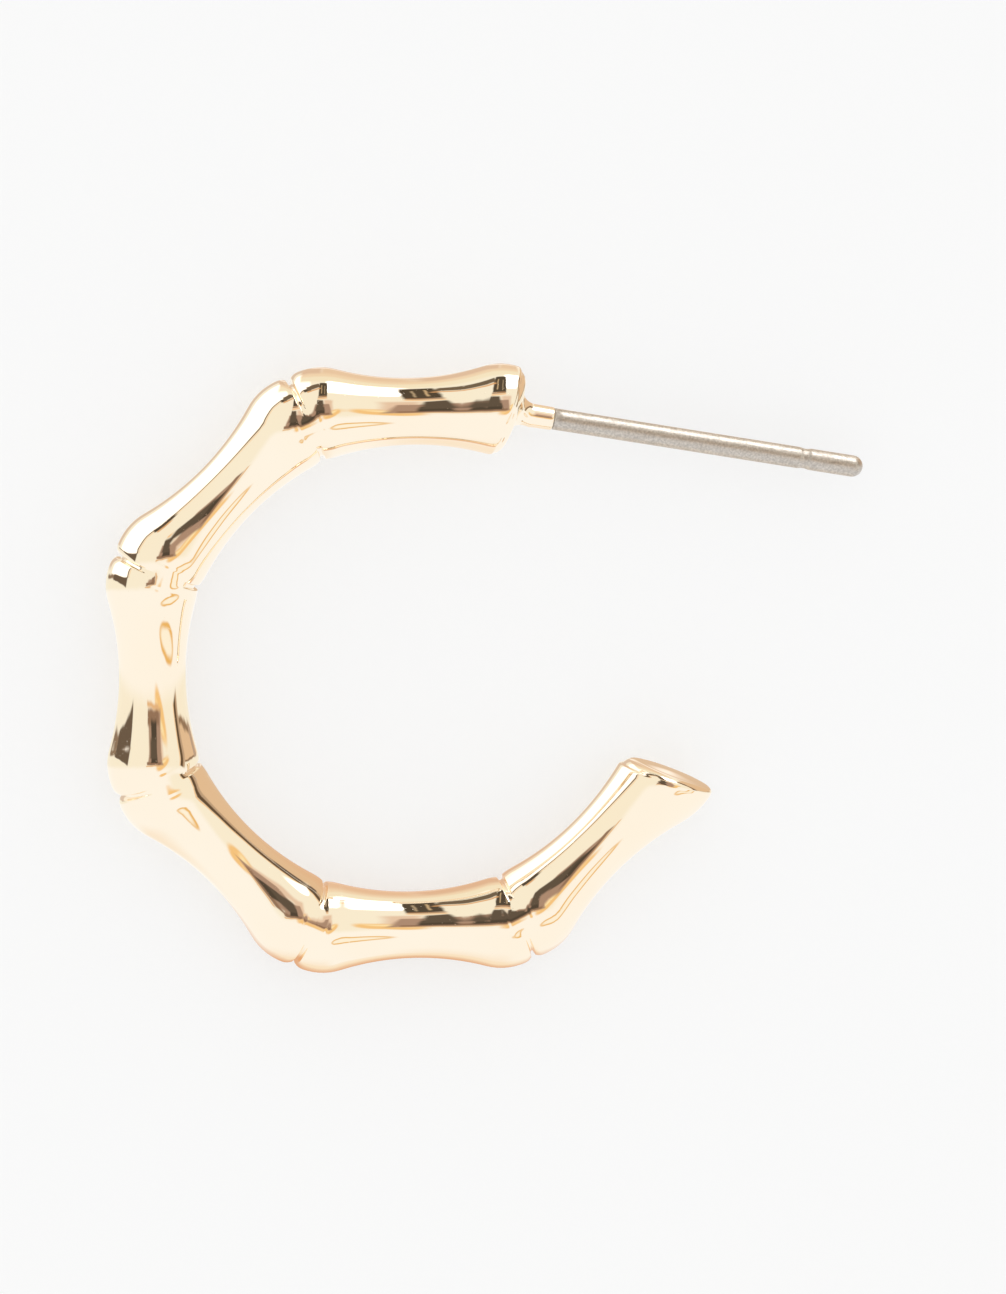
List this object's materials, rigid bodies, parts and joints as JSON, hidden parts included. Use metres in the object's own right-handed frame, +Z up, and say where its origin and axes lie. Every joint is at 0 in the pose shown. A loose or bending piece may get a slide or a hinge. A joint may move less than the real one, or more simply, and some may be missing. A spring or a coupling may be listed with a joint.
{
  "type": "bamboo earring",
  "caption": "Open hoop earring cast like bamboo cane, with swollen internodes and grooved nodes in polished gold-coloured metal, and a straight steel post set in one end.",
  "frame": {"origin": "middle of the bounding box in X and Y, on the surface that the earring lies on", "axes": "the hoop lies flat in the XY plane; +X is the way the post points, +Y is from the free lower arm to the arm that carries the post, +Z is up along the hoop's own axis"},
  "size_m": [0.0256, 0.0206, 0.0032],
  "materials": {
    "gold_plate": "gold plate polished to a mirror",
    "post_steel": "drawn wire, satin"
  },
  "bodies": {
    "root": {"bamboo_hoop": "gold_plate", "ear_post": "post_steel"}
  },
  "joints": []
}
